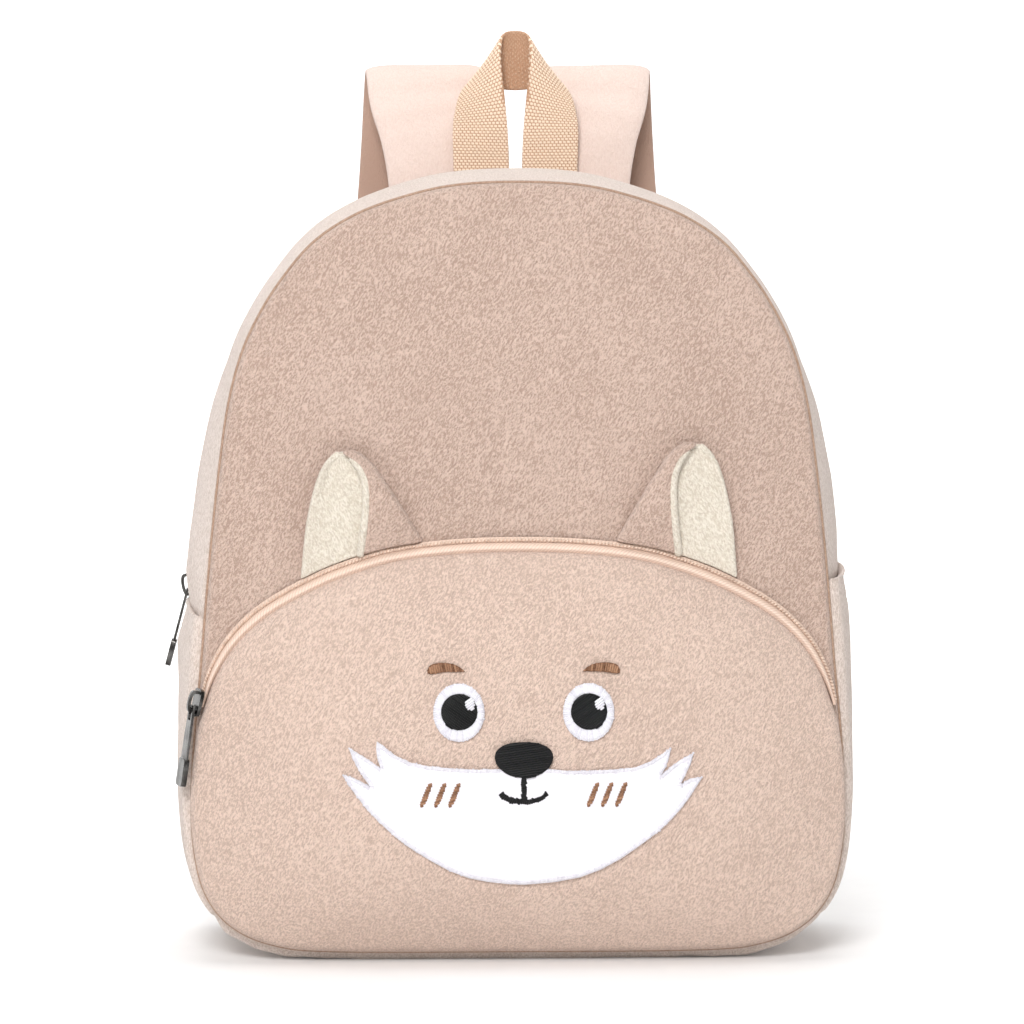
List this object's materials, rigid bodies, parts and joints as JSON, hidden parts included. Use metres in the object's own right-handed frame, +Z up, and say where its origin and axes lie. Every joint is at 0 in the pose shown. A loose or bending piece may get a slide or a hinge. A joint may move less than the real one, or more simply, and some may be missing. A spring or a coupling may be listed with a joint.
{
  "type": "kids animal backpack",
  "caption": "Small plush backpack with an arched zipped main part, a domed front pocket with an animal face and ears, side pockets, handle and padded straps.",
  "frame": {"origin": "middle of the flat base that the bag stands on", "axes": "+Z up, -Y to the front with the face, +X to the right of someone looking at the front"},
  "size_m": [0.2516, 0.1497, 0.3372],
  "materials": {
    "plush": "short pile",
    "pale_plush": "short pile",
    "cream_plush": "short pile",
    "webbing": "woven webbing",
    "zip_tape": "woven tape with a nylon coil",
    "metal": "plain grey metal",
    "plastic": "moulded plastic",
    "white_thread": "embroidery thread",
    "black_thread": "embroidery thread",
    "brown_thread": "embroidery thread"
  },
  "bodies": {
    "bag": {"front_panel": "plush", "back_panel": "pale_plush", "gusset_front": "pale_plush", "gusset_rear": "pale_plush", "main_zip": "zip_tape", "gusset_base": "pale_plush", "front_pocket": "plush", "pocket_zip": "zip_tape", "handle": "webbing", "main_zip_slider": "metal", "pocket_zip_slider": "metal", "muzzle": "white_thread", "nose": "black_thread", "mouth": "black_thread", "side_pocket_left": "pale_plush", "ear_left": "plush", "ear_left_lining": "cream_plush", "strap_left": "pale_plush", "adjuster_left": "plastic", "strap_webbing_left": "webbing", "strap_loop_left": "webbing", "anchor_tab_left": "pale_plush", "eye_left": "white_thread", "pupil_left": "black_thread", "brow_left": "brown_thread", "cheek_mark_left_1": "brown_thread", "cheek_mark_left_2": "brown_thread", "cheek_mark_left_3": "brown_thread", "side_pocket_right": "pale_plush", "ear_right": "plush", "ear_right_lining": "cream_plush", "strap_right": "pale_plush", "adjuster_right": "plastic", "strap_webbing_right": "webbing", "strap_loop_right": "webbing", "anchor_tab_right": "pale_plush", "eye_right": "white_thread", "pupil_right": "black_thread", "brow_right": "brown_thread", "cheek_mark_right_1": "brown_thread", "cheek_mark_right_2": "brown_thread", "cheek_mark_right_3": "brown_thread"},
    "main_pull": {"main_zip_tab": "metal"},
    "pocket_pull": {"pocket_zip_tab": "metal"}
  },
  "joints": [
    {"name": "main_tab_hinge", "type": "hinge", "parent": "bag", "child": "main_pull", "pos_m": [-0.1198, 0.002, 0.13062], "axis": [0, 1, 0], "range_deg": [0, 125]},
    {"name": "pocket_tab_hinge", "type": "hinge", "parent": "bag", "child": "pocket_pull", "pos_m": [-0.11646, -0.04942, 0.09279], "axis": [-0.3257, 0.9425, 0.0752], "range_deg": [0, 125]}
  ]
}
